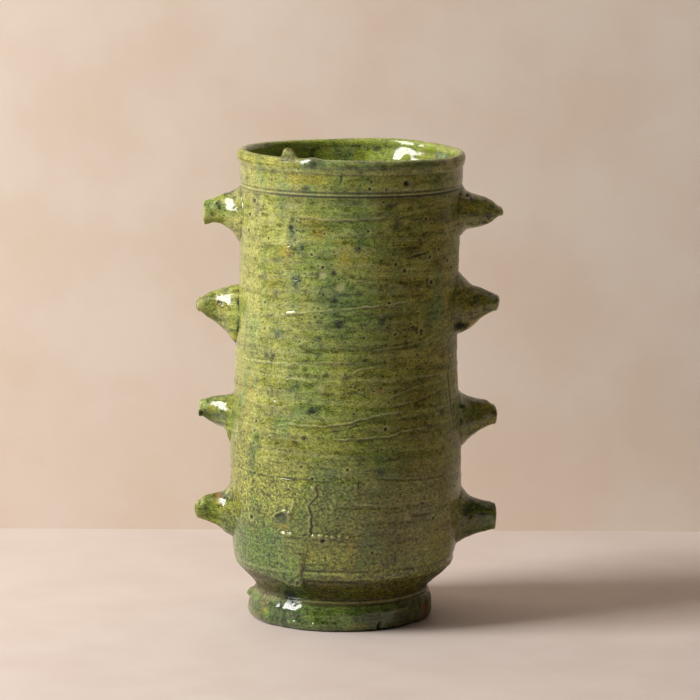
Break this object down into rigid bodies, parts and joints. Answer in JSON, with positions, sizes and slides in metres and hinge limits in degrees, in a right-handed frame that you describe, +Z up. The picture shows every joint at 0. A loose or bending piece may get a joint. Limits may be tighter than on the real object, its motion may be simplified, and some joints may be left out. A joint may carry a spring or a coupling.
{
  "type": "vase",
  "caption": "Tall green-glazed pottery vase on a low foot ring, with a rolled rim and a row of blunt horns down each side.",
  "frame": {"origin": "centre of the foot's resting face, on the surface that the vase stands on", "axes": "+Z up through the mouth; the two rows of horns point along -X and +X; -Y is the side seen from the front"},
  "size_m": [0.1971, 0.148, 0.3073],
  "materials": {
    "green_glaze": "glossy green lead-type glaze, mottled yellow-green, olive and blue-green, over coarse earthenware",
    "luting_slip": "matt fired clay slip"
  },
  "bodies": {
    "root": {"foot_ring": "green_glaze", "lower_bowl": "green_glaze", "body_lower": "green_glaze", "body_upper": "green_glaze", "rim_collar": "green_glaze", "rim_nub": "green_glaze", "horn_left_1": "green_glaze", "horn_left_2": "green_glaze", "horn_left_3": "green_glaze", "horn_left_4": "green_glaze", "horn_right_1": "green_glaze", "horn_right_2": "green_glaze", "horn_right_3": "green_glaze", "horn_right_4": "green_glaze", "slip_foot": "luting_slip", "slip_bowl": "luting_slip", "slip_body": "luting_slip", "slip_rim": "luting_slip", "slip_horn_left_1": "luting_slip", "slip_horn_left_2": "luting_slip", "slip_horn_left_3": "luting_slip", "slip_horn_left_4": "luting_slip", "slip_horn_right_1": "luting_slip", "slip_horn_right_2": "luting_slip", "slip_horn_right_3": "luting_slip", "slip_horn_right_4": "luting_slip"}
  },
  "joints": []
}
